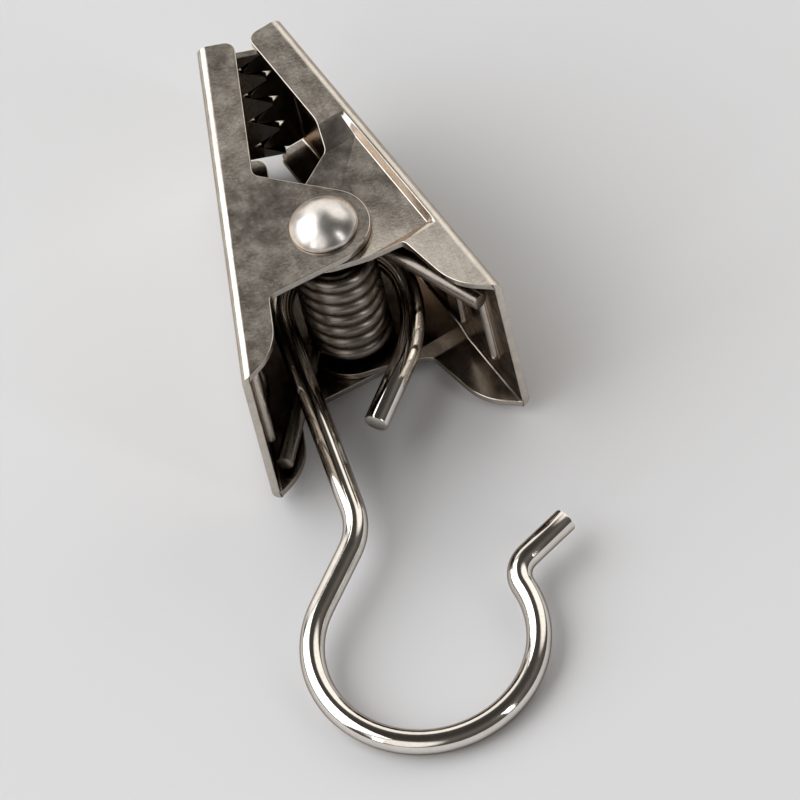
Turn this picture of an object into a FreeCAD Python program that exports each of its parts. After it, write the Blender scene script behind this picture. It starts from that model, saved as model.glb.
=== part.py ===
import FreeCAD, Part
import Sketcher
import math
import os
import re

# A sprung curtain clip with a bent wire hook, lying on its side.
# The rivet stands upright on Z with its rolled end on the floor, the mouth of the clip
# faces +X and the hook trails towards -X. The origin is on the rivet's axis at the floor.
# Each jaw is drawn with its web along X and is then turned about the rivet.

# Sizes that are set by themselves, in millimetres and degrees.
DRIVING_SIZES = [
    # the folded jaws
    ("pivot_to_tip", "19.2"),
    ("handle_length", "12.8"),
    ("web_offset", "7.75"),
    ("clip_width", "15.2"),
    ("sheet", "0.6"),
    ("bend_radius", "0.8"),
    ("flange_depth", "2.95"),
    ("half_angle", "12.6"),
    ("tip_round", "0.9"),
    # the ears that carry the rivet
    ("ear_radius", "3.5"),
    ("ear_front", "6.1"),
    ("ear_rear", "5.5"),
    ("ear_round", "0.8"),
    ("ear_gap", "0.05"),
    ("jog_front_low", "6.3"),
    ("jog_front_high", "8.5"),
    ("jog_rear_low", "4.1"),
    ("jog_rear_high", "5"),
    ("jog_start", "0.85"),
    ("jog_run", "0.35"),
    ("inner_ear_front", "6.5"),
    ("inner_ear_rear", "4.9"),
    ("inner_ear_drop", "0.8"),
    ("inner_kink", "9"),
    ("kink_round", "3"),
    # the handle ends
    ("rear_slope", "2.2"),
    ("rear_round", "5"),
    ("grip_first", "3.7"),
    ("grip_spacing", "4.3"),
    ("grip_length", "9.3"),
    ("grip_width", "1.8"),
    ("grip_depth", "0.5"),
    # the toothed lips
    ("tooth_count", "4"),
    ("tooth_depth", "2.4"),
    ("tooth_gap", "0.1"),
    ("bite_shift", "0.3"),
    ("tooth_flat", "0.3"),
    ("lip_gap", "0.8"),
    ("lip_slit", "0.1"),
    # the hollow rivet
    ("shank_dia", "3.2"),
    ("pin_gap", "0.05"),
    ("head_dia", "5.2"),
    ("head_height", "1.8"),
    ("head_edge", "0.3"),
    ("rolled_dia", "4.9"),
    ("rolled_height", "0.9"),
    ("roll_round", "0.45"),
    ("hollow_dia", "2.2"),
    ("hollow_depth", "4.5"),
    # the torsion spring
    ("spring_wire", "1.35"),
    ("coil_clearance", "0.3"),
    ("coil_gap", "0.03"),
    ("coil_seat", "0.05"),
    ("leg_seat", "0.05"),
    ("leg_short", "1.6"),
    # the wire hook, drawn flat about the rivet's axis
    ("hook_wire", "1.9"),
    ("eye_radius", "4.85"),
    ("eye_x", "0.4"),
    ("eye_y", "-0.05"),
    ("tail_radius", "9.8"),
    ("tail_end_x", "-10.3"),
    ("tail_end_y", "1.35"),
    ("stem_corner_x", "-18.4"),
    ("stem_corner_y", "5.53"),
    ("stem_bend", "5.3"),
    ("loop_radius", "8.5"),
    ("loop_x", "-29.4"),
    ("loop_y", "4.35"),
    ("mouth_bend", "2.2"),
    ("mouth_bend_x", "-27.54"),
    ("hook_end_x", "-23.8"),
    ("hook_end_y", "-8.95"),
    ("stem_crossing", "8.3"),
    ("stem_gap", "0.2"),
]

# Sizes that follow from the ones above.
WORKED_SIZES = [
    ("half_width", "=clip_width / 2"),
    ("rear_corner", "=handle_length - rear_slope"),
    ("flange_edge", "=web_offset - flange_depth"),
    ("web_inside", "=web_offset - sheet"),
    ("inner_bend", "=bend_radius - sheet"),
    ("blank_margin", "=ear_radius * 0.3"),
    ("blank_edge", "=ear_radius + blank_margin"),
    ("jog_depth", "=sheet + ear_gap"),
    ("narrow_half", "=half_width - jog_depth"),
    ("inner_ear_edge", "=flange_edge - inner_ear_drop"),
    ("jog_edge", "=web_offset - jog_start"),
    ("hole_radius", "=shank_dia / 2 + pin_gap"),
    ("clip_middle", "=rolled_height + half_width"),
    ("lip_half", "=half_width - sheet - lip_gap"),
    ("tooth_pitch", "=2 * lip_half / tooth_count"),
    ("tooth_middle", "=pivot_to_tip * tan(half_angle * 1 deg)"),
    ("tooth_root", "=tooth_middle + (tooth_depth + tooth_gap) / 2"),
    ("lip_blank_end", "=tooth_root - tooth_depth - bite_shift - sheet"),
    ("grip_low", "=handle_length - grip_first - grip_spacing"),
    ("grip_high", "=handle_length - grip_first"),
    ("grip_round", "=grip_depth * 0.8"),
    ("bead_width", "=grip_width + grip_depth"),
    ("bead_length", "=grip_length + grip_depth"),
    ("coil_radius", "=shank_dia / 2 + coil_clearance + spring_wire / 2"),
    ("coil_pitch", "=spring_wire + coil_gap"),
    ("coil_room", "=clip_width - 4 * sheet - 2 * ear_gap"),
    ("coil_start", "=rolled_height + 2 * sheet + ear_gap + coil_seat + spring_wire / 2"),
    ("leg_offset", "=web_inside - leg_seat - spring_wire / 2"),
    ("leg_end", "=handle_length - leg_short"),
    ("leg_x", "=leg_end * cos(half_angle * 1 deg) - leg_offset * sin(half_angle * 1 deg)"),
    ("leg_y", "=leg_end * sin(half_angle * 1 deg) + leg_offset * cos(half_angle * 1 deg)"),
    ("leg_span", "=sqrt(leg_x ^ 2 + leg_y ^ 2)"),
    ("leg_length", "=sqrt(leg_span ^ 2 - coil_radius ^ 2)"),
    ("leg_angle", "=180 - (atan(leg_y / leg_x) + acos(coil_radius / leg_span)) / 1 deg"),
    ("whole_turns", "=floor((coil_room - coil_seat - spring_wire) / coil_pitch - leg_angle / 180)"),
    ("coil_turns", "=whole_turns + leg_angle / 180"),
    ("coil_height", "=coil_turns * coil_pitch"),
    ("hook_half", "=hook_wire / 2"),
    ("hook_reach", "=loop_radius - loop_x"),
    ("stem_clear", "=coil_start + spring_wire / 2 + stem_gap + hook_half"),
    ("stem_share", "=stem_crossing / hook_reach"),
    ("eye_height", "=(stem_clear - stem_share * hook_half) / (1 - stem_share)"),
    ("hook_tilt", "=asin((eye_height - hook_half) / hook_reach) / 1 deg"),
    ("eye_side", "=eye_y - eye_radius"),
]

doc = FreeCAD.newDocument("curtain_hook")
dims = doc.addObject("Spreadsheet::Sheet", "dims")
for row, (alias, content) in enumerate(DRIVING_SIZES + WORKED_SIZES, start=1):
    dims.set("A%d" % row, alias)
    dims.set("B%d" % row, content)
    dims.setAlias("B%d" % row, alias)
doc.recompute()


def bound(text):
    """Turn the plain size names in an expression into references to the sheet."""
    return re.sub(r"[a-z][a-z_]+", r"dims.\g<0>", text)


def value(text):
    """The number that an expression of size names has now."""
    return float(dims.evalExpression(text))


def flipped(text, side):
    """The same expression on the other side of the clip when side is -1."""
    return text if side > 0 else "-(" + text + ")"


def new_body(label):
    body = doc.addObject("PartDesign::Body", label)
    body.Label = label
    return body


def new_sketch(body, name, plane, offset="0"):
    """A sketch on one of the body's own origin planes, moved along its normal."""
    sketch = body.newObject("Sketcher::SketchObject", name)
    support = [item for item in body.Origin.OriginFeatures if item.Role == plane][0]
    sketch.AttachmentSupport = [(support, "")]
    sketch.MapMode = "FlatFace"
    sketch.setExpression("AttachmentOffset.Base.z", bound(offset))
    return sketch


def size_constraint(sketch, kind, name, text, *where):
    """Add a dimension that follows an expression of size names."""
    index = sketch.addConstraint(Sketcher.Constraint(kind, *where, value(text)))
    sketch.renameConstraint(index, name)
    sketch.setExpression("Constraints." + name, bound(text))


def pin_point(sketch, name, geometry, point, x_text, y_text):
    """Hold one point of a sketch at a place given by two expressions."""
    size_constraint(sketch, "DistanceX", name + "_x", x_text, -1, 1, geometry, point)
    size_constraint(sketch, "DistanceY", name + "_y", y_text, -1, 1, geometry, point)


def add_arc(sketch, centre, radius, start_angle, end_angle):
    circle = Part.Circle(centre, FreeCAD.Vector(0, 0, 1), radius)
    return sketch.addGeometry(Part.ArcOfCircle(circle, start_angle, end_angle), False)


def tangent_angle(point, centre, radius, turn, leaving):
    """Where, as an angle about centre, a line to or from point touches the circle.
    turn is 1 when the path goes round anticlockwise and -1 when clockwise."""
    arm = point - centre
    spread = math.acos(radius / arm.Length)
    return math.atan2(arm.y, arm.x) + (spread if (turn > 0) != leaving else -spread)


def on_circle(centre, radius, angle):
    return centre + FreeCAD.Vector(math.cos(angle), math.sin(angle), 0) * radius


def draw_outline(sketch, corners):
    """Draw a closed outline. A corner is (x, y), (x, y, radius) where it is rounded, or
    (x, y, radius, turn) where the outline runs round a circle centred there."""
    spots = [FreeCAD.Vector(value(corner[0]), value(corner[1]), 0) for corner in corners]
    radii = [value(corner[2]) if len(corner) > 2 else 0.0 for corner in corners]
    count = len(corners)
    arrive = [None] * count
    leave = [None] * count
    centres = [None] * count
    for i in range(count):
        before, spot, after = spots[i - 1], spots[i], spots[(i + 1) % count]
        if len(corners[i]) == 4:
            turn = corners[i][3]
            centres[i] = spot
            arrive[i] = on_circle(spot, radii[i], tangent_angle(before, spot, radii[i], turn, False))
            leave[i] = on_circle(spot, radii[i], tangent_angle(after, spot, radii[i], turn, True))
            continue
        into = (before - spot).normalize()
        out = (after - spot).normalize()
        half_turn = into.getAngle(out) / 2
        arrive[i] = spot + into * (radii[i] / math.tan(half_turn))
        leave[i] = spot + out * (radii[i] / math.tan(half_turn))
        if radii[i]:
            centres[i] = spot + (into + out).normalize() * (radii[i] / math.sin(half_turn))
    lines = []
    for i in range(count):
        segment = Part.LineSegment(leave[i], arrive[(i + 1) % count])
        lines.append(sketch.addGeometry(segment, False))
    for i in range(count):
        into, out = lines[i - 1], lines[i]
        if centres[i] is None:
            sketch.addConstraint(Sketcher.Constraint("Coincident", into, 2, out, 1))
            pin_point(sketch, "corner%d" % i, out, 1, corners[i][0], corners[i][1])
            continue
        first = arrive[i] - centres[i]
        last = leave[i] - centres[i]
        turns_left = (arrive[i] - spots[i - 1]).cross(first).z < 0
        begin, end = (first, last) if turns_left else (last, first)
        begin_angle = math.atan2(begin.y, begin.x)
        end_angle = math.atan2(end.y, end.x)
        if end_angle < begin_angle:
            end_angle += 2 * math.pi
        arc = add_arc(sketch, centres[i], radii[i], begin_angle, end_angle)
        arc_in, arc_out = (1, 2) if turns_left else (2, 1)
        sketch.addConstraint(Sketcher.Constraint("Tangent", into, 2, arc, arc_in))
        sketch.addConstraint(Sketcher.Constraint("Tangent", out, 1, arc, arc_out))
        size_constraint(sketch, "Radius", "radius%d" % i, corners[i][2], arc)
        if len(corners[i]) == 4:
            pin_point(sketch, "centre%d" % i, arc, 3, corners[i][0], corners[i][1])
            continue
        tip = sketch.addGeometry(Part.Point(spots[i]), True)
        sketch.addConstraint(Sketcher.Constraint("PointOnObject", tip, 1, into))
        sketch.addConstraint(Sketcher.Constraint("PointOnObject", tip, 1, out))
        pin_point(sketch, "corner%d" % i, tip, 1, corners[i][0], corners[i][1])


def draw_circle(sketch, x_text, y_text, radius_text):
    centre = FreeCAD.Vector(value(x_text), value(y_text), 0)
    normal = FreeCAD.Vector(0, 0, 1)
    circle = sketch.addGeometry(Part.Circle(centre, normal, value(radius_text)), False)
    size_constraint(sketch, "Radius", "radius", radius_text, circle)
    pin_point(sketch, "centre", circle, 3, x_text, y_text)


def draw_slot(sketch, name, x_text, half_length, half_width):
    """A round-ended slot across the web, centred on its width."""
    rise_text = half_length + " - " + half_width
    x, reach, radius = value(x_text), value(rise_text), value(half_width)
    upper = add_arc(sketch, FreeCAD.Vector(x, reach, 0), radius, 0, math.pi)
    lower = add_arc(sketch, FreeCAD.Vector(x, -reach, 0), radius, math.pi, 2 * math.pi)
    left = FreeCAD.Vector(x - radius, 0, 0)
    right = FreeCAD.Vector(x + radius, 0, 0)
    rise = FreeCAD.Vector(0, reach, 0)
    down = sketch.addGeometry(Part.LineSegment(left + rise, left - rise), False)
    up = sketch.addGeometry(Part.LineSegment(right - rise, right + rise), False)
    joins = ((upper, 2, down, 1), (down, 2, lower, 1), (lower, 2, up, 1), (up, 2, upper, 1))
    for join in joins:
        sketch.addConstraint(Sketcher.Constraint("Tangent", *join))
    size_constraint(sketch, "Radius", name + "_radius", half_width, upper)
    pin_point(sketch, name + "_upper", upper, 3, x_text, rise_text)
    pin_point(sketch, name + "_lower", lower, 3, x_text, "-(" + rise_text + ")")


def pad(body, name, sketch, length, both_ways=False, turned=False):
    feature = body.newObject("PartDesign::Pad", name)
    feature.Profile = sketch
    feature.SideType = "Symmetric" if both_ways else "One side"
    feature.Reversed = turned
    feature.setExpression("Length", bound(length))
    return feature


def cut_through(body, name, sketch):
    """Cut a sketch right through the body, both ways from its plane."""
    feature = body.newObject("PartDesign::Pocket", name)
    feature.Profile = sketch
    feature.SideType = "Symmetric"
    feature.Type = "ThroughAll"
    return feature


def round_edges(body, name, chosen, radius):
    """Round the edges of the body's latest shape that chosen() accepts."""
    doc.recompute()
    base = body.Tip
    names = ["Edge%d" % n for n, edge in enumerate(base.Shape.Edges, start=1) if chosen(edge)]
    feature = body.newObject("PartDesign::Fillet", name)
    feature.Base = (base, names)
    feature.setExpression("Radius", bound(radius))
    return feature


def lies_on(edge, axis, place):
    """True when a whole edge lies in the plane where the axis has the given value."""
    box = edge.BoundBox
    low, high = getattr(box, axis + "Min"), getattr(box, axis + "Max")
    return abs(low - place) < 1e-3 and abs(high - place) < 1e-3


def channel_section(body, name, side, place, ear_half):
    """The folded sheet's U section at one place along the jaw. ear_half is half the width
    over the flanges once they have stepped in; None leaves them straight."""
    sketch = new_sketch(body, name, "YZ_Plane", place)
    free = flipped("-blank_edge", side)
    outside = flipped("web_offset", side)
    inside = flipped("web_inside", side)
    outer_face = [(outside, "half_width", "bend_radius")]
    if ear_half is None:
        outer_face.insert(0, (free, "half_width"))
    else:
        outer_face[:0] = [(free, ear_half),
                          (flipped("jog_edge - jog_run", side), ear_half),
                          (flipped("jog_edge", side), "half_width")]
    under = (ear_half or "half_width") + " - sheet"
    inner_face = [(free, under), (inside, under, "inner_bend")]
    lower_outer = [(c[0], "-(" + c[1] + ")") + c[2:] for c in reversed(outer_face)]
    lower_inner = [(c[0], "-(" + c[1] + ")") + c[2:] for c in inner_face]
    draw_outline(sketch, outer_face + lower_outer + lower_inner + inner_face[::-1])
    return sketch


def toothed_edge(side, tip_first):
    """The zigzag free edge of a lip, from beyond its upper end to beyond its lower end.
    Sharp roots alternate with tips cut off flat; the two jaws are half a pitch apart.
    The outer jaw bites past the middle by bite_shift and the inner jaw stays back by it."""
    root_size = "tooth_root - bite_shift" if side > 0 else "tooth_root + bite_shift"
    root = flipped(root_size, side)
    tip = flipped(root_size + " - tooth_depth * (1 - tooth_flat / tooth_pitch)", side)
    last = 2 * int(value("tooth_count"))
    corners = []
    for step in range(last + 1):
        height = "lip_half - tooth_pitch * %s" % (step / 2)
        is_tip = (step % 2 == 0) == tip_first
        if step == 0:
            corners.append((tip if is_tip else root, "lip_half + lip_slit"))
        if is_tip and step > 0:
            corners.append((tip, height + " + tooth_flat / 2"))
        if is_tip and step < last:
            corners.append((tip, height + " - tooth_flat / 2"))
        if not is_tip and 0 < step < last:
            corners.append((root, height))
        if step == last:
            corners.append((tip if is_tip else root, "-lip_half - lip_slit"))
    return corners


def make_jaw(label, side, sections, tip_first):
    """One folded jaw: side is 1 for the jaw at +Y and -1 for the jaw at -Y. Between two
    sections with the same ear_half the channel runs straight, otherwise it steps in or out."""
    body = new_body(label)
    for number in range(1, len(sections)):
        (place, ear_half), (far_place, far_half) = sections[number - 1:number + 1]
        stretch = "%s_stretch%d" % (label, number)
        near = channel_section(body, stretch + "_near", side, place, ear_half)
        if far_half == ear_half:
            pad(body, stretch, near, "%s - (%s)" % (far_place, place))
            continue
        step = body.newObject("PartDesign::AdditiveLoft", stretch)
        step.Profile = near
        step.Sections = [channel_section(body, stretch + "_far", side, far_place, far_half)]
        step.Ruled = True

    # The flanges' free edges, with the ear left standing round the rivet.
    outline = new_sketch(body, label + "_flange_outline", "XY_Plane")
    edge = flipped("flange_edge", side)
    beyond = flipped("-blank_edge - blank_margin", side)
    if side > 0:
        ear = [
            ("ear_front", edge, "ear_round"),
            ("0", "0", "ear_radius", -side),
            ("-ear_rear", edge, "ear_round"),
        ]
    else:
        ear_edge = flipped("inner_ear_edge", side)
        ear = [
            ("inner_kink", edge, "kink_round"),
            ("inner_ear_front", ear_edge, "ear_round"),
            ("0", "0", "ear_radius", -side),
            ("-inner_ear_rear", ear_edge, "ear_round"),
        ]
    draw_outline(outline, [("pivot_to_tip + blank_margin", edge)] + ear + [
        ("-rear_corner", edge, "rear_round"),
        ("-handle_length", flipped("web_inside", side)),
        ("-handle_length - blank_margin", flipped("web_inside", side)),
        ("-handle_length - blank_margin", beyond),
        ("pivot_to_tip + blank_margin", beyond),
    ])
    cut_through(body, label + "_flanges", outline)

    hole = new_sketch(body, label + "_rivet_hole_circle", "XY_Plane")
    draw_circle(hole, "0", "0", "hole_radius")
    cut_through(body, label + "_rivet_hole", hole)

    # The web's front end is slit from the flanges and folded down as the lip.
    slot = new_sketch(body, label + "_lip_slot_outline", "XZ_Plane")
    draw_outline(slot, [
        ("pivot_to_tip - bend_radius", "lip_half + lip_slit"),
        ("pivot_to_tip - bend_radius", "-lip_half - lip_slit"),
        ("pivot_to_tip + blank_margin", "-lip_half - lip_slit"),
        ("pivot_to_tip + blank_margin", "lip_half + lip_slit"),
    ])
    cut_through(body, label + "_lip_slot", slot)

    lip = new_sketch(body, label + "_lip_outline", "XY_Plane")
    draw_outline(lip, [
        ("pivot_to_tip - 2 * bend_radius", flipped("web_offset", side)),
        ("pivot_to_tip", flipped("web_offset", side), "bend_radius"),
        ("pivot_to_tip", flipped("lip_blank_end", side)),
        ("pivot_to_tip - sheet", flipped("lip_blank_end", side)),
        ("pivot_to_tip - sheet", flipped("web_inside", side), "inner_bend"),
        ("pivot_to_tip - 2 * bend_radius", flipped("web_inside", side)),
    ])
    pad(body, label + "_lip", lip, "2 * lip_half", both_ways=True)

    teeth = new_sketch(body, label + "_teeth_outline", "YZ_Plane", "pivot_to_tip + sheet")
    beyond = flipped("lip_blank_end - sheet", side)
    corners = toothed_edge(side, tip_first)
    draw_outline(teeth, [(beyond, corners[0][1])] + corners + [(beyond, corners[-1][1])])
    cut_teeth = body.newObject("PartDesign::Pocket", label + "_teeth")
    cut_teeth.Profile = teeth
    cut_teeth.setExpression("Length", bound("3 * sheet"))

    # Two pressed finger grips: beads inside the handle, grooves outside.
    inner = new_sketch(body, label + "_bead_outline", "XZ_Plane", flipped("-web_inside", side))
    outer = new_sketch(body, label + "_groove_outline", "XZ_Plane", flipped("-web_offset", side))
    for number, place in enumerate(("-grip_low", "-grip_high"), start=1):
        draw_slot(inner, "bead%d" % number, place, "bead_length / 2", "bead_width / 2")
        draw_slot(outer, "groove%d" % number, place, "grip_length / 2", "grip_width / 2")

    def grip_edge(place):
        """The edges of the grips' closed outlines at one depth in the web."""
        reach = value("grip_high + bead_width / 2") + 1e-3
        near = value("grip_low - bead_width / 2") - 1e-3
        tall = value("bead_length / 2") + 1e-3

        def chosen(e):
            box = e.BoundBox
            inside = -reach < box.XMin and box.XMax < -near
            return inside and -tall < box.ZMin and box.ZMax < tall and lies_on(e, "Y", place)
        return chosen

    pad(body, label + "_beads", inner, "grip_depth", turned=side < 0)
    crown = side * value("web_inside - grip_depth")
    round_edges(body, label + "_bead_rounds", grip_edge(crown), "grip_round")
    grooves = body.newObject("PartDesign::Pocket", label + "_grooves")
    grooves.Profile = outer
    grooves.Reversed = side > 0
    grooves.setExpression("Length", bound("grip_depth"))
    floor = side * value("web_offset - grip_depth")
    round_edges(body, label + "_groove_rounds", grip_edge(floor), "grip_round")

    # The flanges' front corners are rounded off.
    def front_corner(e):
        beside_lip = min(abs(e.BoundBox.ZMin), abs(e.BoundBox.ZMax)) > value("lip_half")
        at_end = lies_on(e, "X", value("pivot_to_tip"))
        return beside_lip and at_end and lies_on(e, "Y", side * value("flange_edge"))
    round_edges(body, label + "_front_corners", front_corner, "tip_round")

    body.setExpression("Placement.Base.z", bound("clip_middle"))
    turn = FreeCAD.Rotation(FreeCAD.Vector(0, 0, -side), value("half_angle"))
    body.Placement = FreeCAD.Placement(body.Placement.Base, turn)
    body.setExpression("Placement.Rotation.Angle", bound("half_angle"))
    return body


def make_rivet():
    """A hollow rivet: domed head above, shank, and the rolled-over end below."""
    body = new_body("pivot_rivet")
    sketch = new_sketch(body, "rivet_profile", "XZ_Plane")
    roll = value("roll_round")
    top = value("rolled_height + clip_width")
    crown = value("head_height - head_edge")
    dome = (value("head_dia / 2") ** 2 + crown ** 2) / (2 * crown)
    spread = math.asin(value("head_dia / 2") / dome)
    dome_centre = FreeCAD.Vector(0, top + value("head_height") - dome, 0)
    outer_centre = FreeCAD.Vector(value("rolled_dia / 2") - roll, roll, 0)
    inner_centre = FreeCAD.Vector(value("hollow_dia / 2") + roll, roll, 0)
    dome_arc = add_arc(sketch, dome_centre, dome, math.pi / 2 - spread, math.pi / 2)
    outer_roll = add_arc(sketch, outer_centre, roll, 1.5 * math.pi, 2 * math.pi)
    inner_roll = add_arc(sketch, inner_centre, roll, math.pi, 1.5 * math.pi)
    path = [
        ("hollow_dia / 2", "roll_round"),
        ("hollow_dia / 2", "hollow_depth"),
        ("0", "hollow_depth + hollow_dia / 4"),
        ("0", "rolled_height + clip_width + head_height"),
    ]
    rim = [
        ("head_dia / 2", "rolled_height + clip_width + head_edge"),
        ("head_dia / 2", "rolled_height + clip_width"),
        ("shank_dia / 2", "rolled_height + clip_width"),
        ("shank_dia / 2", "rolled_height"),
        ("rolled_dia / 2", "rolled_height"),
        ("rolled_dia / 2", "roll_round"),
    ]
    foot = [("rolled_dia / 2 - roll_round", "0"), ("hollow_dia / 2 + roll_round", "0")]
    ends = []
    for number, corners in enumerate((path, rim, foot)):
        spots = [FreeCAD.Vector(value(x), value(y), 0) for x, y in corners]
        first = last = None
        for i in range(len(corners) - 1):
            line = sketch.addGeometry(Part.LineSegment(spots[i], spots[i + 1]), False)
            pin_point(sketch, "run%d_%d" % (number, i), line, 1, *corners[i])
            if last is not None:
                sketch.addConstraint(Sketcher.Constraint("Coincident", last, 2, line, 1))
            first = line if first is None else first
            last = line
        pin_point(sketch, "run%d_end" % number, last, 2, *corners[-1])
        ends.append((first, last))
    (hollow, axis_line), (rim_first, rim_last), (sole, _) = ends
    for join in ((axis_line, 2, dome_arc, 2), (dome_arc, 1, rim_first, 1),
                 (rim_last, 2, outer_roll, 2), (outer_roll, 1, sole, 1),
                 (sole, 2, inner_roll, 2), (inner_roll, 1, hollow, 1)):
        sketch.addConstraint(Sketcher.Constraint("Coincident", *join))
    sketch.addConstraint(Sketcher.Constraint("PointOnObject", dome_arc, 3, -2))
    for name, arc in (("outer_roll", outer_roll), ("inner_roll", inner_roll)):
        size_constraint(sketch, "DistanceY", name, "roll_round", -1, 1, arc, 3)
    turned = body.newObject("PartDesign::Revolution", "rivet_turned")
    turned.Profile = sketch
    turned.ReferenceAxis = (sketch, ["V_Axis"])
    turned.Angle = 360
    return body


def make_spring():
    """A left-hand torsion spring, close wound, whose two legs press the handles apart."""
    body = new_body("torsion_spring")
    section = new_sketch(body, "coil_section", "XZ_Plane")
    draw_circle(section, "coil_radius", "0", "spring_wire / 2")
    coil = body.newObject("PartDesign::AdditiveHelix", "coil")
    coil.Profile = section
    coil.ReferenceAxis = (section, ["V_Axis"])
    coil.Mode = "pitch-turns-angle"
    coil.LeftHanded = True
    coil.setExpression("Pitch", bound("coil_pitch"))
    coil.setExpression("Turns", bound("coil_turns"))
    # The lower leg leaves the start of the coil, the upper leg leaves its end.
    lower = new_sketch(body, "lower_leg_section", "XZ_Plane")
    draw_circle(lower, "coil_radius", "0", "spring_wire / 2")
    pad(body, "lower_leg", lower, "leg_length", turned=True)
    upper = new_sketch(body, "upper_leg_section", "XZ_Plane")
    draw_circle(upper, "coil_radius", "0", "spring_wire / 2")
    wound = FreeCAD.Rotation(FreeCAD.Vector(0, -1, 0), 2 * value("leg_angle"))
    upper.AttachmentOffset = FreeCAD.Placement(FreeCAD.Vector(0, value("coil_height"), 0), wound)
    upper.setExpression("AttachmentOffset.Base.y", bound("coil_height"))
    upper.setExpression("AttachmentOffset.Rotation.Angle", bound("2 * leg_angle"))
    pad(body, "upper_leg", upper, "leg_length")
    turn = FreeCAD.Rotation(FreeCAD.Vector(0, 0, 1), value("leg_angle"))
    body.Placement = FreeCAD.Placement(FreeCAD.Vector(0, 0, value("coil_start")), turn)
    body.setExpression("Placement.Base.z", bound("coil_start"))
    body.setExpression("Placement.Rotation.Angle", bound("leg_angle"))
    return body


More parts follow.
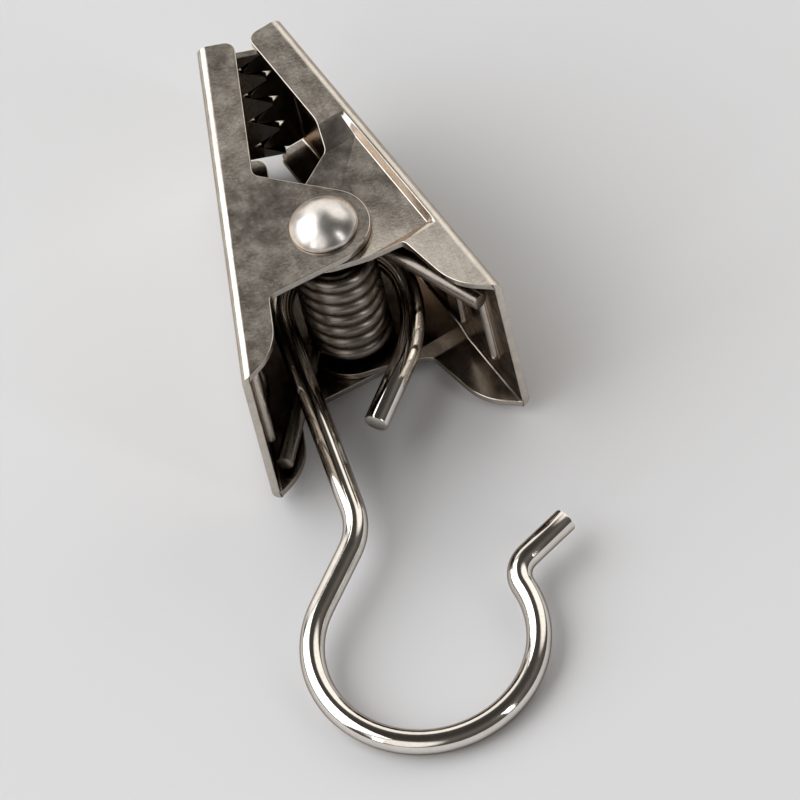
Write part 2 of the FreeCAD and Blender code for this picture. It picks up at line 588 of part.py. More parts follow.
def make_hook():
    """The bent wire: an open eye round the coil, a stem, and a round open loop."""
    body = new_body("hanging_hook")
    eye = FreeCAD.Vector(value("eye_x"), value("eye_y"), 0)
    loop = FreeCAD.Vector(value("loop_x"), value("loop_y"), 0)
    corner = FreeCAD.Vector(value("stem_corner_x"), value("stem_corner_y"), 0)
    eye_radius, loop_radius = value("eye_radius"), value("loop_radius")

    # The tail curls away from the eye and is cut off short inside the handles.
    tail = new_sketch(body, "tail_path", "XY_Plane")
    tail_radius = value("tail_radius")
    tail_centre = eye + FreeCAD.Vector(0, tail_radius - eye_radius, 0)
    tail_end = FreeCAD.Vector(value("tail_end_x"), value("tail_end_y"), 0)
    touch = tangent_angle(tail_end, tail_centre, tail_radius, -1, True)
    curl = add_arc(tail, tail_centre, tail_radius, touch, -math.pi / 2)
    straight = Part.LineSegment(on_circle(tail_centre, tail_radius, touch), tail_end)
    run = tail.addGeometry(straight, False)
    tail.addConstraint(Sketcher.Constraint("Tangent", run, 1, curl, 1))
    size_constraint(tail, "Radius", "tail_radius", "tail_radius", curl)
    pin_point(tail, "root", curl, 2, "eye_x", "eye_side")
    size_constraint(tail, "DistanceX", "curl_x", "eye_x", -1, 1, curl, 3)
    pin_point(tail, "cut_end", run, 2, "tail_end_x", "tail_end_y")

    path = new_sketch(body, "hook_path", "XY_Plane")
    round_eye = add_arc(path, eye, eye_radius, -math.pi / 2,
                        tangent_angle(corner, eye, eye_radius, 1, True))
    stem_start = on_circle(eye, eye_radius, tangent_angle(corner, eye, eye_radius, 1, True))
    loop_start_angle = tangent_angle(corner, loop, loop_radius, 1, False)
    loop_start = on_circle(loop, loop_radius, loop_start_angle)
    bend = value("stem_bend")
    into = (stem_start - corner).normalize()
    out = (loop_start - corner).normalize()
    half_turn = into.getAngle(out) / 2
    bend_centre = corner + (into + out).normalize() * (bend / math.sin(half_turn))
    bend_in = corner + into * (bend / math.tan(half_turn))
    bend_out = corner + out * (bend / math.tan(half_turn))
    stem = path.addGeometry(Part.LineSegment(stem_start, bend_in), False)
    first, last = bend_out - bend_centre, bend_in - bend_centre
    stem_bend = add_arc(path, bend_centre, bend, math.atan2(first.y, first.x),
                        math.atan2(last.y, last.x))
    shoulder = path.addGeometry(Part.LineSegment(bend_out, loop_start), False)

    # The loop ends in a small reverse bend and a short flared end.
    mouth = value("mouth_bend")
    apart = loop_radius + mouth
    aside = value("mouth_bend_x") - loop.x
    mouth_centre = loop + FreeCAD.Vector(aside, -math.sqrt(apart ** 2 - aside ** 2), 0)
    meet = mouth_centre - loop
    loop_end_angle = math.atan2(meet.y, meet.x) + 2 * math.pi
    round_loop = add_arc(path, loop, loop_radius, loop_start_angle, loop_end_angle)
    hook_end = FreeCAD.Vector(value("hook_end_x"), value("hook_end_y"), 0)
    flare_angle = tangent_angle(hook_end, mouth_centre, mouth, -1, True)
    mouth_bend = add_arc(path, mouth_centre, mouth, flare_angle, loop_end_angle - math.pi)
    flare_start = on_circle(mouth_centre, mouth, flare_angle)
    flare = path.addGeometry(Part.LineSegment(flare_start, hook_end), False)
    joins = ((round_eye, 2, stem, 1), (stem, 2, stem_bend, 2), (stem_bend, 1, shoulder, 1),
             (shoulder, 2, round_loop, 1), (round_loop, 2, mouth_bend, 2),
             (mouth_bend, 1, flare, 1))
    for join in joins:
        path.addConstraint(Sketcher.Constraint("Tangent", *join))
    arcs = ((round_eye, "eye_radius"), (stem_bend, "stem_bend"), (round_loop, "loop_radius"),
            (mouth_bend, "mouth_bend"))
    for arc, name in arcs:
        size_constraint(path, "Radius", name, name, arc)
    pin_point(path, "eye", round_eye, 3, "eye_x", "eye_y")
    size_constraint(path, "DistanceX", "root_x", "eye_x", -1, 1, round_eye, 1)
    pin_point(path, "loop", round_loop, 3, "loop_x", "loop_y")
    tip = path.addGeometry(Part.Point(corner), True)
    path.addConstraint(Sketcher.Constraint("PointOnObject", tip, 1, stem))
    path.addConstraint(Sketcher.Constraint("PointOnObject", tip, 1, shoulder))
    pin_point(path, "stem_corner", tip, 1, "stem_corner_x", "stem_corner_y")
    size_constraint(path, "DistanceX", "mouth_x", "mouth_bend_x", -1, 1, mouth_bend, 3)
    pin_point(path, "hook_end", flare, 2, "hook_end_x", "hook_end_y")

    section = new_sketch(body, "wire_section", "YZ_Plane", "eye_x")
    draw_circle(section, "eye_side", "0", "hook_half")
    for name, spine in (("tail_wire", tail), ("hook_wire_run", path)):
        doc.recompute()
        wire = body.newObject("PartDesign::AdditivePipe", name)
        wire.Profile = section
        edges = ["Edge%d" % n for n in range(1, len(spine.Shape.Edges) + 1)]
        wire.Spine = (spine, edges)
        wire.Mode = "Frenet"

    # The hook's far side rests on the floor while its eye is held up on the coil.
    down = FreeCAD.Rotation(FreeCAD.Vector(0, -1, 0), value("hook_tilt"))
    body.Placement = FreeCAD.Placement(FreeCAD.Vector(0, 0, value("eye_height")), down)
    body.setExpression("Placement.Base.z", bound("eye_height"))
    body.setExpression("Placement.Rotation.Angle", bound("hook_tilt"))
    return body


outer_jaw = make_jaw("outer_jaw", 1,
                     [("-handle_length", None), ("pivot_to_tip", None)], True)
inner_jaw = make_jaw("inner_jaw", -1,
                     [("-handle_length", "half_width"), ("-jog_rear_high", "half_width"),
                      ("-jog_rear_low", "narrow_half"), ("jog_front_low", "narrow_half"),
                      ("jog_front_high", "half_width"), ("pivot_to_tip", "half_width")], False)
sub_parts = [outer_jaw, inner_jaw, make_rivet(), make_spring(), make_hook()]
doc.recompute()

for item in doc.Objects:
    if "Invalid" in item.State or "Error" in item.State:
        raise RuntimeError(item.Label + " failed: " + str(item.State))
for part in sub_parts:
    shape = part.Shape
    if shape.isNull() or not shape.isValid() or len(shape.Solids) != 1:
        raise RuntimeError(part.Label + " has no valid single solid")

os.makedirs("parts", exist_ok=True)
for part in sub_parts:
    part.Shape.exportStep(os.path.join("parts", part.Label + ".step"))
    print(part.Label, round(part.Shape.Volume, 2), part.Shape.BoundBox)
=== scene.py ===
import bpy
import math
from mathutils import Matrix, Vector


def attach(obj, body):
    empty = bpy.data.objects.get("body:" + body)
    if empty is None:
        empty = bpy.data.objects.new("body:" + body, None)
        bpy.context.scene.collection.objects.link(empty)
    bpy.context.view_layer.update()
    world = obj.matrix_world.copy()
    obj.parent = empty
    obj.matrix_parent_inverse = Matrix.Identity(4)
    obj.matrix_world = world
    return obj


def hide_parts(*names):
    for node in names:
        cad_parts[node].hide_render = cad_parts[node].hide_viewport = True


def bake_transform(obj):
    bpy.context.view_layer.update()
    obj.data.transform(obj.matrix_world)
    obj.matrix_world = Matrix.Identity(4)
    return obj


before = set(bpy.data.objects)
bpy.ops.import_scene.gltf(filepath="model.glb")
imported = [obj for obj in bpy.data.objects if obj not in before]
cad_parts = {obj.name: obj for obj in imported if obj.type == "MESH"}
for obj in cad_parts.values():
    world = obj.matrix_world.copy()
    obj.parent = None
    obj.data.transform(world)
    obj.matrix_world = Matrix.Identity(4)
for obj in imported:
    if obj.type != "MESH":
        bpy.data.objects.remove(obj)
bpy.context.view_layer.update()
mm = 0.001
smoothAngle = math.radians(35)      # edges flatter than this are shaded smooth
print("frame loaded:", ", ".join(sorted(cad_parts)))

# camera, floor and lights
photoView = {
    "spot": (-0.71007, 0.09052, 0.91071),   # where the camera stood
    "aim": (-0.005469, -0.001499, 0.0),     # what it looks at on the floor
    "roll": -14.73,                         # degrees, the frame leans over
    "lens": 689.3,
    "sensor": 36,
    "near": 0.05, "far": 20,
}
studio = {
    "floorSize": 3.0,
    "floorColor": (0.735, 0.742, 0.76),
    "cloudScale": 9.0, "cloudDark": 0.985,  # faint clouds on the floor
    "backgroundColor": (0.70, 0.70, 0.71),
    "horizonColor": (0.06, 0.052, 0.045),   # what smooth metal mirrors, low down
    "midColor": (0.15, 0.137, 0.125),
    "zenithColor": (0.05, 0.046, 0.042),
}
# pale walls of the room: direction, where the glow begins and is full (cosines), colour
paleWalls = {
    "farWall": {"toward": (0.951, -0.13, 0.28), "begins": 0.76, "full": 0.86, "color": (1.20, 1.16, 1.10)},
    "sideWall": {"toward": (0.43, -0.70, 0.57), "begins": 0.88, "full": 0.95, "color": (1.35, 1.30, 1.23)},
    "nearWall": {"toward": (-0.65, 0.55, 0.524), "begins": 0.88, "full": 0.96, "color": (1.15, 1.11, 1.06)},
}


def clearSelection():
    if bpy.context.object and bpy.context.object.mode != "OBJECT":
        bpy.ops.object.mode_set(mode="OBJECT")
    bpy.ops.object.select_all(action="DESELECT")


def aimAt(obj, target, roll=0.0):
    back = (obj.location - Vector(target)).normalized()
    turn = back.to_track_quat("Z", "Y")
    obj.rotation_mode = "QUATERNION"
    obj.rotation_quaternion = turn @ Matrix.Rotation(math.radians(roll), 3, "Z").to_quaternion()


clearSelection()
bpy.ops.object.camera_add(location=photoView["spot"])
camera = bpy.context.object
camera.name = "photoCamera"
camera.data.lens = photoView["lens"]
camera.data.sensor_width = photoView["sensor"]
camera.data.clip_start = photoView["near"]
camera.data.clip_end = photoView["far"]
aimAt(camera, photoView["aim"], photoView["roll"])
bpy.context.scene.camera = camera


def nodeTree(owner):
    owner.use_nodes = True
    owner.node_tree.nodes.clear()
    return owner.node_tree


def addNode(tree, kind, inputs=None, **settings):
    node = tree.nodes.new(kind)
    for key, given in settings.items():
        setattr(node, key, given)
    for key, given in (inputs or {}).items():
        node.inputs[key].default_value = given
    return node


def makeFloorMaterial():
    material = bpy.data.materials.new("paleFloor")
    tree = nodeTree(material)
    out = addNode(tree, "ShaderNodeOutputMaterial")
    shader = addNode(tree, "ShaderNodeBsdfPrincipled", {"Roughness": 0.75, "Specular IOR Level": 0.2})
    where = addNode(tree, "ShaderNodeTexCoord")
    cloud = addNode(tree, "ShaderNodeTexNoise", {"Scale": studio["cloudScale"], "Detail": 3.0})
    ramp = addNode(tree, "ShaderNodeValToRGB")
    low, high = ramp.color_ramp.elements
    pale = studio["floorColor"]
    low.position, high.position = 0.3, 0.7
    low.color = (*[channel * studio["cloudDark"] for channel in pale], 1)
    high.color = (*pale, 1)
    tree.links.new(where.outputs["Object"], cloud.inputs["Vector"])
    tree.links.new(cloud.outputs["Fac"], ramp.inputs["Fac"])
    tree.links.new(ramp.outputs["Color"], shader.inputs["Base Color"])
    tree.links.new(shader.outputs["BSDF"], out.inputs["Surface"])
    return material


clearSelection()
bpy.ops.mesh.primitive_plane_add(size=studio["floorSize"], location=(0, 0, 0))
floor = bpy.context.object
floor.name = "studioFloor"
floor.data.materials.append(makeFloorMaterial())


def makeWorld():
    world = bpy.context.scene.world or bpy.data.worlds.new("studioWorld")
    bpy.context.scene.world = world
    tree = nodeTree(world)
    out = addNode(tree, "ShaderNodeOutputWorld")
    room = addNode(tree, "ShaderNodeBackground", {"Strength": 1.0})
    where = addNode(tree, "ShaderNodeTexCoord")
    split = addNode(tree, "ShaderNodeSeparateXYZ")
    fade = addNode(tree, "ShaderNodeValToRGB")
    first, last = fade.color_ramp.elements
    first.position, last.position = 0.04, 0.97
    first.color = (*studio["backgroundColor"], 1)
    last.color = (*studio["zenithColor"], 1)
    for position, colorName in ((0.12, "horizonColor"), (0.70, "midColor")):
        stop = fade.color_ramp.elements.new(position)
        stop.color = (*studio[colorName], 1)
    tree.links.new(where.outputs["Generated"], split.inputs["Vector"])
    tree.links.new(split.outputs["Z"], fade.inputs["Fac"])
    color = fade.outputs["Color"]
    for wall in paleWalls.values():
        facing = addNode(tree, "ShaderNodeVectorMath", operation="DOT_PRODUCT")
        facing.inputs[1].default_value = wall["toward"]
        glow = addNode(tree, "ShaderNodeMapRange", interpolation_type="SMOOTHSTEP")
        glow.inputs["From Min"].default_value = wall["begins"]
        glow.inputs["From Max"].default_value = wall["full"]
        paint = addNode(tree, "ShaderNodeMix", data_type="RGBA")
        paint.inputs[7].default_value = (*wall["color"], 1)
        tree.links.new(where.outputs["Generated"], facing.inputs[0])
        tree.links.new(facing.outputs["Value"], glow.inputs["Value"])
        tree.links.new(glow.outputs["Result"], paint.inputs[0])
        tree.links.new(color, paint.inputs[6])
        color = paint.outputs[2]
    tree.links.new(color, room.inputs["Color"])
    tree.links.new(room.outputs["Background"], out.inputs["Surface"])


makeWorld()

# lamps: place, size in metres, strength in watts
lampAim = (-0.01, 0, 0.005)
lamps = {
    "windowLamp": {"spot": (0.30, 0.80, 0.76), "size": (1.40, 1.30), "power": 14.6},
    "stripLamp": {"spot": (-0.62, -0.50, 0.44), "size": (0.10, 0.50), "power": 0.7},
    "sideLamp": {"spot": (-0.50, 0.75, 0.35), "size": (0.12, 0.40), "power": 0.5},
}
for name, lamp in lamps.items():
    clearSelection()
    bpy.ops.object.light_add(type="AREA", location=lamp["spot"])
    light = bpy.context.object
    light.name = name
    light.data.shape = "RECTANGLE"
    light.data.size, light.data.size_y = lamp["size"]
    light.data.energy = lamp["power"]
    aimAt(light, lampAim)
bpy.context.scene.view_settings.view_transform = "Standard"
print("camera, floor and lights are set")


# plated metal, one look for each kind of piece
toneMix = {
    "grainShare": 0.6, "fleckShare": 0.4, "allShare": 0.5,     # how the three noises add up
    "darkBelow": 0.40, "brightAbove": 0.60,
    "smoothBelow": 0.35, "roughAbove": 0.68,                    # of the stain, for the gloss
    "scratchDepth": 0.00003,
}


def platedMetal(name, look):
    material = bpy.data.materials.new(name)
    tree = nodeTree(material)
    link = tree.links.new
    out = addNode(tree, "ShaderNodeOutputMaterial")
    shader = addNode(tree, "ShaderNodeBsdfPrincipled", {"Metallic": 1.0})
    shader.inputs["Specular Tint"].default_value = (*look["rim"], 1)
    where = addNode(tree, "ShaderNodeTexCoord")

    # rolling grain of the sheet or drawing grain of the wire
    turned = addNode(tree, "ShaderNodeMapping")
    turned.inputs["Rotation"].default_value = (0, 0, math.radians(look["grainTurn"]))
    turned.inputs["Scale"].default_value = look["grainStretch"]
    grain = addNode(tree, "ShaderNodeTexNoise",
                    {"Scale": look["grainScale"], "Detail": 6.0, "Roughness": 0.6})
    stain = addNode(tree, "ShaderNodeTexNoise",
                    {"Scale": look["stainScale"], "Detail": 4.0, "Roughness": 0.6})
    fleck = addNode(tree, "ShaderNodeTexNoise", {"Scale": look["fleckScale"], "Detail": 2.0})
    link(where.outputs["Object"], turned.inputs["Vector"])
    link(turned.outputs["Vector"], grain.inputs["Vector"])
    link(where.outputs["Object"], stain.inputs["Vector"])
    link(where.outputs["Object"], fleck.inputs["Vector"])

    mixed = addNode(tree, "ShaderNodeMath", operation="MULTIPLY_ADD")
    mixed.inputs[1].default_value = toneMix["grainShare"]
    speckled = addNode(tree, "ShaderNodeMath", operation="MULTIPLY_ADD")
    speckled.inputs[1].default_value = toneMix["fleckShare"]
    link(grain.outputs["Fac"], mixed.inputs[0])
    link(stain.outputs["Fac"], mixed.inputs[2])
    link(fleck.outputs["Fac"], speckled.inputs[0])
    link(mixed.outputs["Value"], speckled.inputs[2])
    share = addNode(tree, "ShaderNodeMath", operation="MULTIPLY")
    share.inputs[1].default_value = toneMix["allShare"]
    link(speckled.outputs["Value"], share.inputs[0])
    tone = addNode(tree, "ShaderNodeValToRGB")
    dark, bright = tone.color_ramp.elements
    dark.position, bright.position = toneMix["darkBelow"], toneMix["brightAbove"]
    dark.color = (*look["dark"], 1)
    bright.color = (*look["bright"], 1)
    link(share.outputs["Value"], tone.inputs["Fac"])

    # painted shade: the base colour fades to a dark brownish tone where ambient occlusion finds nearby
    # surfaces, in the folds and between parts
    reach = addNode(tree, "ShaderNodeAmbientOcclusion", {"Distance": look["paintedShadeReach"]}, samples=12)
    unshadedShare = addNode(tree, "ShaderNodeMapRange",
                     {"From Min": look["paintedShadeFullBelow"], "From Max": look["paintedShadeNoneAbove"]})
    blend = addNode(tree, "ShaderNodeMix", data_type="RGBA")
    blend.inputs[6].default_value = (*look["paintedShade"], 1)
    link(reach.outputs["AO"], unshadedShare.inputs["Value"])
    link(unshadedShare.outputs["Result"], blend.inputs[0])
    link(tone.outputs["Color"], blend.inputs[7])
    link(blend.outputs[2], shader.inputs["Base Color"])

    gloss = addNode(tree, "ShaderNodeMapRange",
                    {"From Min": toneMix["smoothBelow"], "From Max": toneMix["roughAbove"]})
    gloss.inputs["To Min"].default_value = look["smooth"]
    gloss.inputs["To Max"].default_value = look["rough"]
    link(stain.outputs["Fac"], gloss.inputs["Value"])
    link(gloss.outputs["Result"], shader.inputs["Roughness"])

    # the pressed sheet isn't quite flat: shallow waves, and along the jaw x * (lean + x * (bow + x * flare))
    wave = addNode(tree, "ShaderNodeTexNoise", {"Scale": look["waveScale"], "Detail": 0.5})
    along = addNode(tree, "ShaderNodeSeparateXYZ")
    curved = addNode(tree, "ShaderNodeMath", operation="MULTIPLY_ADD")
    curved.inputs[1].default_value = look["flare"]
    curved.inputs[2].default_value = look["bow"]
    sloped = addNode(tree, "ShaderNodeMath", operation="MULTIPLY_ADD")
    sloped.inputs[2].default_value = look["lean"]
    bowed = addNode(tree, "ShaderNodeMath", operation="MULTIPLY")
    shape = addNode(tree, "ShaderNodeMath", operation="MULTIPLY_ADD")
    shape.inputs[1].default_value = look["wave"] * mm
    link(where.outputs["Object"], wave.inputs["Vector"])
    link(where.outputs["Object"], along.inputs["Vector"])
    link(along.outputs["X"], curved.inputs[0])
    link(curved.outputs["Value"], sloped.inputs[0])
    link(along.outputs["X"], sloped.inputs[1])
    link(sloped.outputs["Value"], bowed.inputs[0])
    link(along.outputs["X"], bowed.inputs[1])
    link(wave.outputs["Fac"], shape.inputs[0])
    link(bowed.outputs["Value"], shape.inputs[2])
    swell = addNode(tree, "ShaderNodeBump", {"Strength": 1.0, "Distance": 1.0})
    link(shape.outputs["Value"], swell.inputs["Height"])

    bump = addNode(tree, "ShaderNodeBump", {"Strength": look["bump"], "Distance": toneMix["scratchDepth"]})
    link(swell.outputs["Normal"], bump.inputs["Normal"])
    both = addNode(tree, "ShaderNodeMath", operation="ADD")
    link(grain.outputs["Fac"], both.inputs[0])
    link(fleck.outputs["Fac"], both.inputs[1])
    link(both.outputs["Value"], bump.inputs["Height"])
    link(bump.outputs["Normal"], shader.inputs["Normal"])
    link(shader.outputs["BSDF"], out.inputs["Surface"])
    return material


# the paintedShade keys set the painted shade: its colour, how far the occlusion looks, and the occlusion
# values between which it fades in
sheetLook = {
    "dark": (0.51, 0.468, 0.418), "bright": (0.64, 0.597, 0.54), "paintedShade": (0.12, 0.092, 0.072),
    "paintedShadeReach": 0.010, "paintedShadeFullBelow": 0.24, "paintedShadeNoneAbove": 0.56,
    "smooth": 0.16, "rough": 0.26, "bump": 0.18,
    "grainTurn": 12.6, "grainStretch": (0.3, 2.5, 2.5), "grainScale": 1400.0,
    "stainScale": 700.0, "fleckScale": 4200.0,
    "waveScale": 90.0, "wave": 0.4, "lean": 0.035, "bow": 0.0, "flare": 0.0, "rim": (0.62, 0.52, 0.44),
}
wireLook = {
    "dark": (0.70, 0.665, 0.62), "bright": (0.80, 0.765, 0.72), "paintedShade": (0.28, 0.235, 0.195),
    "paintedShadeReach": 0.004, "paintedShadeFullBelow": 0.10, "paintedShadeNoneAbove": 0.60,
    "smooth": 0.05, "rough": 0.11, "bump": 0.04,
    "grainTurn": 0.0, "grainStretch": (1, 1, 1), "grainScale": 900.0,
    "stainScale": 320.0, "fleckScale": 3200.0,
    "waveScale": 60.0, "wave": 0.05, "lean": 0.0, "bow": 0.0, "flare": 0.0, "rim": (0.30, 0.22, 0.17),
}
# painted shade: the spring's dark and bright tones are set low for the shade the coil sits in between the
# jaws
shadedSpringLook = {
    "dark": (0.205, 0.18, 0.158), "bright": (0.265, 0.237, 0.21), "paintedShade": (0.11, 0.085, 0.068),
    "paintedShadeReach": 0.004, "paintedShadeFullBelow": 0.10, "paintedShadeNoneAbove": 0.60,
    "smooth": 0.24, "rough": 0.34, "bump": 0.12,
    "grainTurn": 0.0, "grainStretch": (1, 1, 3), "grainScale": 900.0,
    "stainScale": 300.0, "fleckScale": 2600.0,
    "waveScale": 60.0, "wave": 0.05, "lean": 0.0, "bow": 0.0, "flare": 0.0, "rim": (0.62, 0.52, 0.44),
}
rivetLook = {
    "dark": (0.62, 0.59, 0.56), "bright": (0.80, 0.775, 0.745), "paintedShade": (0.20, 0.16, 0.13),
    "paintedShadeReach": 0.002, "paintedShadeFullBelow": 0.20, "paintedShadeNoneAbove": 0.80,
    "smooth": 0.28, "rough": 0.36, "bump": 0.06,
    "grainTurn": 0.0, "grainStretch": (1, 1, 1), "grainScale": 900.0,
    "stainScale": 600.0, "fleckScale": 3200.0,
    "waveScale": 300.0, "wave": 0.03, "lean": 0.0, "bow": 0.0, "flare": 0.0, "rim": (0.62, 0.52, 0.44),
}
outerSheet = platedMetal("outerSheet", {**sheetLook, "lean": 0.060, "bow": -0.3})
innerSheet = platedMetal("innerSheet", {**sheetLook, "bow": 1.8, "flare": -54.0})
hookWire = platedMetal("hookWire", wireLook)
springWire = platedMetal("springWire", shadedSpringLook)
rivetMetal = platedMetal("rivetMetal", rivetLook)
print("metals are mixed")


# small helpers for the modelling
def intoEdit(piece):
    bpy.context.view_layer.objects.active = piece
    piece.select_set(True)
    bpy.ops.object.mode_set(mode="EDIT")
    bpy.ops.mesh.select_mode(type="VERT")


def finishPiece(piece, name, metal):
    clearSelection()
    bpy.context.view_layer.objects.active = piece
    piece.select_set(True)
    bpy.ops.object.transform_apply(location=True, rotation=True, scale=True)
    bpy.ops.object.shade_smooth_by_angle(angle=smoothAngle)
    piece.name = name
    piece.data.name = name
    piece.data.materials.clear()
    piece.data.materials.append(metal)


def pushRing(offset):
    bpy.ops.mesh.extrude_region_move(TRANSFORM_OT_translate={"value": offset})


def scaleRing(factor, centre):
    bpy.ops.transform.resize(value=(factor, factor, factor), center_override=centre)


rimTurn = 0.71      # share of a rounded rim's length at its middle ring, sin 45 degrees


def openWithRim(centre, heading, radius, rim):
    # the small end face is selected: widen it over a rounded rim to the full section
    shy = rim * (1 - rimTurn)
    pushRing(heading * shy)
    scaleRing((radius - shy) / (radius - rim), centre + heading * shy)
    pushRing(heading * rim * rimTurn)
    scaleRing(radius / (radius - shy), centre + heading * rim)


def capWithRim(centre, heading, radius, rim):
    # the full section is selected: narrow it over a rounded rim, then close it
    shy = rim * (1 - rimTurn)
    pushRing(heading * rim * rimTurn)
    scaleRing((radius - shy) / radius, centre + heading * rim * rimTurn)
    pushRing(heading * shy)
    scaleRing((radius - rim) / (radius - shy), centre + heading * rim)
    bpy.ops.mesh.edge_face_add()


def tidyNormals():
    bpy.ops.mesh.select_all(action="SELECT")
    bpy.ops.mesh.remove_doubles(threshold=0.000001)
    bpy.ops.mesh.normals_make_consistent(inside=False)
    bpy.ops.object.mode_set(mode="OBJECT")


def bendWire(start, heading, bends, radius, sides, stepAngle, rim):
    # feed the wire straight, then bend it round a former, again and again
    spot = Vector((*start, 0)) * mm
    angle = math.radians(heading)
    radius, rim = radius * mm, rim * mm
    clearSelection()
    bpy.ops.mesh.primitive_circle_add(vertices=sides, radius=radius - rim, fill_type="NGON",
                                      location=spot, rotation=(math.pi / 2, 0, angle + math.pi / 2))
    wire = bpy.context.object
    bpy.ops.object.transform_apply(location=True, rotation=True, scale=True)
    intoEdit(wire)
    bpy.ops.mesh.select_all(action="SELECT")
    openWithRim(spot, Vector((math.cos(angle), math.sin(angle), 0)), radius, rim)
    fed = rim
    for feed, bendRadius, bend in bends:
        along = Vector((math.cos(angle), math.sin(angle), 0))
        last = bendRadius == 0
        push = feed * mm - fed - (rim if last else 0)
        if push > 0:
            pushRing(along * push)
        spot = spot + along * feed * mm
        fed = 0
        if last:
            capWithRim(spot - along * rim, along, radius, rim)
            break
        side = 1 if bend > 0 else -1
        former = spot + Vector((-along.y, along.x, 0)) * side * bendRadius * mm
        bpy.ops.mesh.spin(steps=max(2, round(abs(bend) / stepAngle)), dupli=False,
                          angle=-math.radians(bend), center=former, axis=(0, 0, 1))
        spot = former + Matrix.Rotation(math.radians(bend), 3, "Z") @ (spot - former)
        angle += math.radians(bend)
    tidyNormals()
    return wire


# the hook: one wire, fed and bent round formers
hookSizes = {
    "wire": 1.9, "cutRim": 0.12, "wireSides": 32, "stepAngle": 4.0,
    "start": (-10.3, 1.35), "heading": -42.02,
    # feed in mm, radius of the bend's centre line, degrees (left is positive)
    "bends": [(5.57, 9.8, 42.02), (0, 4.85, 177.79), (16.974, 5.3, -41.87),
              (5.053, 8.5, 234.09), (0, 2.2, -74.70), (4.10, 0, 0)],
    "tilt": 7.278, "lift": 5.752,
}
hook = bendWire(hookSizes["start"], hookSizes["heading"], hookSizes["bends"], hookSizes["wire"] / 2,
                hookSizes["wireSides"], hookSizes["stepAngle"], hookSizes["cutRim"])
hook.rotation_euler = (0, math.radians(-hookSizes["tilt"]), 0)
hook.location = (0, 0, hookSizes["lift"] * mm)
finishPiece(hook, "wireHook", hookWire)
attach(hook, "hook")
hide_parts("hanging_hook")
print("hook is bent:", [round(v / mm, 2) for v in hook.dimensions])

# the torsion spring: close coils round the rivet, a leg to each handle
springSizes = {
    "wire": 1.35, "coilRadius": 2.575, "pitch": 1.38, "turns": 7.328,
    "startAngle": 59.06, "startHeight": 2.875, "legLength": 12.65,
    "wireSides": 24, "stepsPerTurn": 48, "cutRim": 0.10,
    "blendStart": 3.6, "blendEnd": 12.2,    # heights that span the coils between the jaw of the lower leg and the jaw of the upper leg
}


def makeSpring():
    size = springSizes
    radius, rim = size["wire"] / 2 * mm, size["cutRim"] * mm
    coil = size["coilRadius"] * mm
    clearSelection()
    bpy.ops.mesh.primitive_circle_add(vertices=size["wireSides"], radius=radius,
                                      location=(coil, 0, 0), rotation=(math.pi / 2, 0, 0))
    spring = bpy.context.object
    bpy.ops.object.transform_apply(location=True, rotation=True, scale=True)
    intoEdit(spring)
    # the lower leg first, then the coils wind on up from the same ring
    bpy.ops.mesh.select_all(action="SELECT")
    bpy.ops.object.vertex_group_assign_new()
    spring.vertex_groups[-1].name = "firstRing"
    pushRing((0, size["legLength"] * mm - rim, 0))
    bpy.ops.object.vertex_group_remove_from()
    capWithRim(Vector((coil, size["legLength"] * mm - rim, 0)), Vector((0, 1, 0)), radius, rim)
    bpy.ops.object.vertex_group_remove_from()
    bpy.ops.mesh.select_all(action="DESELECT")
    bpy.ops.object.vertex_group_select()
    rise = size["pitch"] * mm * size["turns"]
    turn = 2 * math.pi * size["turns"]
    steps = round(size["turns"] * size["stepsPerTurn"])
    for step in range(steps):
        pushRing((0, 0, rise / steps))
        bpy.ops.object.vertex_group_remove_from()
        bpy.ops.transform.rotate(value=turn / steps, orient_axis="Z", center_override=(0, 0, 0))
    aside = Matrix.Rotation(-turn, 3, "Z")
    heading = aside @ Vector((0, -1, 0))
    pushRing(heading * (size["legLength"] * mm - rim))
    capWithRim(aside @ Vector((coil, 0, 0)) + Vector((0, 0, rise))
               + heading * (size["legLength"] * mm - rim), heading, radius, rim)
    tidyNormals()
    spring.vertex_groups.clear()
    spring.rotation_euler = (0, 0, math.radians(size["startAngle"]))
    spring.location = (0, 0, size["startHeight"] * mm)
    return spring


spring = makeSpring()
finishPiece(spring, "coilSpring", springWire)
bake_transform(spring)
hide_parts("torsion_spring")
print("spring is wound:", [round(v / mm, 2) for v in spring.dimensions])

# the rivet: domed head above, rolled hollow end below
rivetSizes = {
    "sides": 64, "headRadius": 2.6, "headSeat": 16.1, "headEdge": 0.3, "headHeight": 1.8,
    "shank": 1.6, "rollTop": 0.9, "rolledRadius": 2.45, "rollRound": 0.45, "hollow": 1.1, "hollowDepth": 4.5,
    "domeRings": 11, "domeReach": 0.985, "rollRings": 8,
    "headRim": [(0, 0.22), (0, 0.08), (0.03, 0.02), (0.08, 0)],     # inwards, above the seat
    "rollEdge": 0.06, "drillRadius": 0.3, "drillPoint": 0.4,
}


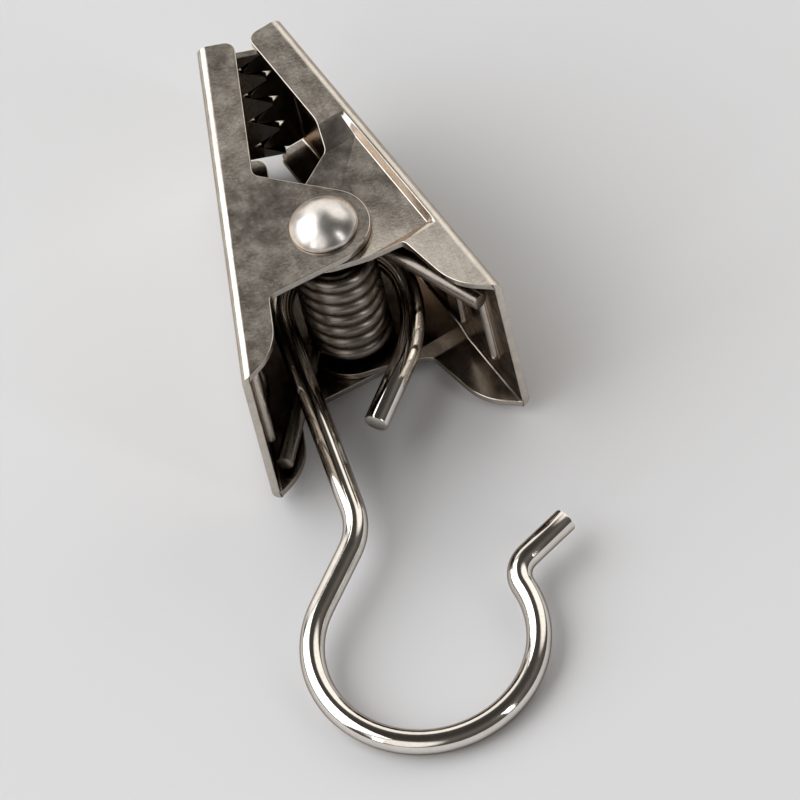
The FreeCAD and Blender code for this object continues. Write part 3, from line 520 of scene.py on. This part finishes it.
def rivetRings():
    # (radius, height) from the middle of the dome down to the hollow's bottom
    size = rivetSizes
    rings = []
    crown = size["headHeight"] - size["headEdge"]
    ball = (size["headRadius"] ** 2 + crown ** 2) / (2 * crown)
    spread = math.asin(size["headRadius"] / ball)
    seat, rollTop = size["headSeat"], size["rollTop"]
    top = seat + size["headHeight"]
    for i in range(1, size["domeRings"] + 1):
        lean = spread * size["domeReach"] * i / size["domeRings"]
        rings.append((ball * math.sin(lean), top - ball * (1 - math.cos(lean))))
    rings += [(size["headRadius"] - inwards, seat + above) for inwards, above in size["headRim"]]
    rings += [(size["shank"], seat), (size["shank"], rollTop)]
    outer, roll, hollow, edge = size["rolledRadius"], size["rollRound"], size["hollow"], size["rollEdge"]
    rings += [(outer - edge, rollTop), (outer, rollTop - edge)]
    leans = [math.pi / 2 * i / size["rollRings"] for i in range(size["rollRings"] + 1)]
    rings += [(outer - roll + roll * math.cos(lean), roll - roll * math.sin(lean)) for lean in leans]
    rings += [(hollow + roll - roll * math.sin(lean), roll - roll * math.cos(lean)) for lean in leans]
    rings += [(hollow, size["hollowDepth"]), (size["drillRadius"], size["hollowDepth"] + size["drillPoint"])]
    return rings


def turnRivet():
    rings = [(r * mm, z * mm) for r, z in rivetRings()]
    clearSelection()
    bpy.ops.mesh.primitive_circle_add(vertices=rivetSizes["sides"], radius=rings[0][0],
                                      fill_type="TRIFAN", location=(0, 0, rings[0][1]))
    rivet = bpy.context.object
    bpy.ops.object.transform_apply(location=True, rotation=True, scale=True)
    intoEdit(rivet)
    bpy.ops.mesh.select_all(action="DESELECT")
    bpy.ops.mesh.select_mode(type="EDGE")
    bpy.ops.mesh.select_non_manifold()
    for (before, low), (radius, height) in zip(rings, rings[1:]):
        pushRing((0, 0, height - low))
        if radius != before:
            bpy.ops.transform.resize(value=(radius / before, radius / before, 1),
                                     center_override=(0, 0, height))
    bpy.ops.mesh.edge_face_add()
    bpy.ops.mesh.poke()
    tidyNormals()
    return rivet


rivet = turnRivet()
finishPiece(rivet, "domedRivet", rivetMetal)
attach(rivet, "outer_jaw")
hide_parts("pivot_rivet")
print("rivet is turned:", [round(v / mm, 2) for v in rivet.dimensions])

# the folded jaws
jawFinish = {
    "edgeRound": 0.055,     # mm, the tumbled edge
    "roundSteps": 2,
    "sharpAngle": 38,
    "flatWithin": 0.6,      # degrees, faces flatter than this are joined
}


def dressJaw(node, name, sheet):
    jaw = bpy.data.objects.new(name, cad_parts[node].data.copy())
    bpy.context.scene.collection.objects.link(jaw)
    clearSelection()
    intoEdit(jaw)
    bpy.ops.mesh.select_all(action="SELECT")
    bpy.ops.mesh.customdata_custom_splitnormals_clear()
    bpy.ops.mesh.remove_doubles(threshold=0.000001)
    bpy.ops.mesh.dissolve_limited(angle_limit=math.radians(jawFinish["flatWithin"]))
    tidyNormals()
    edge = jaw.modifiers.new("tumbledEdges", "BEVEL")
    edge.width = jawFinish["edgeRound"] * mm
    edge.segments = jawFinish["roundSteps"]
    edge.limit_method = "ANGLE"
    edge.angle_limit = math.radians(jawFinish["sharpAngle"])
    edge.use_clamp_overlap = False
    finishPiece(jaw, name, sheet)
    bpy.ops.object.modifier_apply(modifier=edge.name)
    # where three edges meet at a slant the bevel can overshoot, so strays go back onto the sheet
    strays = 0
    for vert in jaw.data.vertices:
        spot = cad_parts[node].closest_point_on_mesh(vert.co)[1]
        if (vert.co - spot).length > jawFinish["edgeRound"] * mm:
            vert.co = spot
            strays += 1
    bpy.ops.object.shade_smooth_by_angle(angle=smoothAngle)
    even = jaw.modifiers.new("evenShading", "WEIGHTED_NORMAL")
    even.keep_sharp = True
    bpy.ops.object.modifier_apply(modifier=even.name)
    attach(jaw, node)
    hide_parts(node)
    print(name, "has", len(jaw.data.polygons), "faces,", strays, "strays pulled in")


dressJaw("outer_jaw", "outerJaw", outerSheet)
dressJaw("inner_jaw", "innerJaw", innerSheet)
